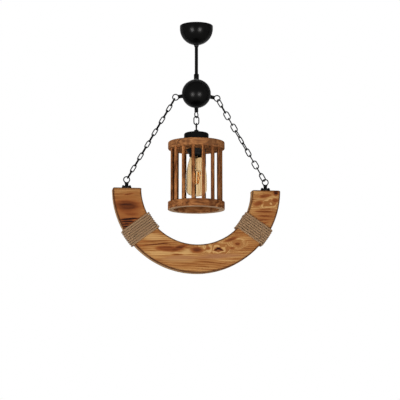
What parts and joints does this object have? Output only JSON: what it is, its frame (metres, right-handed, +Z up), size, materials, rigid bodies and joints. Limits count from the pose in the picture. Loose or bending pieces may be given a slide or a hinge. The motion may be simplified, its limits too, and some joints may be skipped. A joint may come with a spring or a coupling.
{
  "type": "cage pendant lamp",
  "caption": "Hanging lamp: a wooden dowel cage round a bare amber bulb hangs inside a wooden half ring with rope wraps, on chains from a black ball hub, stem and ceiling dome.",
  "frame": {"origin": "on the ceiling plane, on the stem's axis, midway between the bracket's two screw holes", "axes": "+Z up towards the ceiling along the stem, X along the half ring from its left end to its right end, -Y towards the viewer of the picture"},
  "size_m": [0.5078, 0.172, 0.7626],
  "materials": {
    "black_metal": "satin black enamel",
    "steel": "zinc plated",
    "ceramic": "unglazed insulating ceramic",
    "cage_wood": "dark stained and varnished",
    "crescent_wood": "scorched, brushed and oiled softwood",
    "rope": "twisted jute",
    "bakelite": "moulded black",
    "brass": "bright pressed sheet",
    "amber_glass": "clear amber",
    "clear_glass": "clear",
    "filament": "coated stick"
  },
  "bodies": {
    "hanger": {"ceiling_bracket": "black_metal", "stem": "black_metal", "stem_nuts": "steel", "terminal_block": "ceramic", "terminal_screws": "steel", "hub_coupling": "black_metal", "hub_ball": "black_metal", "left_hub_eye": "black_metal", "right_hub_eye": "black_metal", "bottom_hub_eye": "black_metal", "hub_eye_nuts": "steel"},
    "canopy": {"canopy_dome": "black_metal", "canopy_collar": "black_metal", "collar_grub_screw": "steel"},
    "left_top_link": {"left_top_link": "black_metal"},
    "left_chain": {"left_chain": "black_metal"},
    "right_top_link": {"right_top_link": "black_metal"},
    "right_chain": {"right_chain": "black_metal"},
    "half_ring": {"crescent": "crescent_wood", "left_rope_wrap": "rope", "right_rope_wrap": "rope", "left_crescent_eye": "black_metal", "right_crescent_eye": "black_metal", "eye_rosettes": "black_metal", "rosette_screws": "black_metal"},
    "centre_link": {"centre_link": "black_metal"},
    "cage": {"cap_eye": "black_metal", "cap_cone_nut": "black_metal", "shade_cap": "black_metal", "cap_lock_nut": "steel", "top_disc": "cage_wood", "bottom_ring": "cage_wood", "slat_01": "cage_wood", "slat_02": "cage_wood", "slat_03": "cage_wood", "slat_04": "cage_wood", "slat_05": "cage_wood", "slat_06": "cage_wood", "slat_07": "cage_wood", "slat_08": "cage_wood", "slat_09": "cage_wood", "slat_10": "cage_wood", "slat_11": "cage_wood", "slat_12": "cage_wood", "slat_13": "cage_wood", "slat_14": "cage_wood", "slat_15": "cage_wood", "holder_shell": "bakelite", "holder_clamp_ring": "bakelite", "holder_insert": "ceramic", "holder_screw_shell": "brass", "holder_contact": "brass"},
    "bulb_travel": {"bulb_contact_tip": "brass"},
    "bulb": {"bulb_glass": "amber_glass", "bulb_cap": "brass", "bulb_stem": "clear_glass", "filament_wires": "steel", "filaments": "filament"}
  },
  "joints": [
    {"name": "canopy_slide", "type": "slide", "parent": "hanger", "child": "canopy", "axis": [0, 0, 1], "range_m": [-0.08, 0]},
    {"name": "half_ring_swing", "type": "hinge", "parent": "hanger", "child": "left_top_link", "pos_m": [-0.06718, 0, -0.23119], "axis": [1, 0, 0], "range_deg": [-15, 15]},
    {"name": "right_top_link_swing", "type": "hinge", "parent": "hanger", "child": "right_top_link", "pos_m": [0.06718, 0, -0.23119], "axis": [1, 0, 0], "range_deg": [-15, 15]},
    {"name": "half_ring_sway", "type": "hinge", "parent": "left_top_link", "child": "left_chain", "pos_m": [-0.07797, 0, -0.25001], "axis": [0, 1, 0], "range_deg": [-4, 4]},
    {"name": "right_chain_sway", "type": "hinge", "parent": "right_top_link", "child": "right_chain", "pos_m": [0.07797, 0, -0.25001], "axis": [0, 1, 0], "range_deg": [-4, 4]},
    {"name": "half_ring_level", "type": "hinge", "parent": "left_chain", "child": "half_ring", "pos_m": [-0.20749, 0, -0.47591], "axis": [0, 1, 0], "range_deg": [-1.6, 1.6]},
    {"name": "cage_sway", "type": "hinge", "parent": "hanger", "child": "centre_link", "pos_m": [0, 0, -0.28475], "axis": [0, 1, 0], "range_deg": [-7, 7]},
    {"name": "cage_swing", "type": "hinge", "parent": "centre_link", "child": "cage", "pos_m": [0, 0, -0.30645], "axis": [1, 0, 0], "range_deg": [-10, 10]},
    {"name": "bulb_lowering", "type": "slide", "parent": "cage", "child": "bulb_travel", "axis": [0, 0, -1], "range_m": [0, 0.0181]},
    {"name": "bulb_turn", "type": "hinge", "parent": "bulb_travel", "child": "bulb", "pos_m": [0, 0, -0.385], "axis": [0, 0, -1], "range_deg": [0, 1802]}
  ],
  "couplings": [
    {"joint": "right_top_link_swing", "follows": "half_ring_swing", "ratio": 1},
    {"joint": "right_chain_sway", "follows": "half_ring_sway", "ratio": 1},
    {"joint": "half_ring_level", "follows": "half_ring_sway", "ratio": -0.37578},
    {"joint": "bulb_turn", "follows": "bulb_lowering", "rad_per_m": 1735.7}
  ]
}
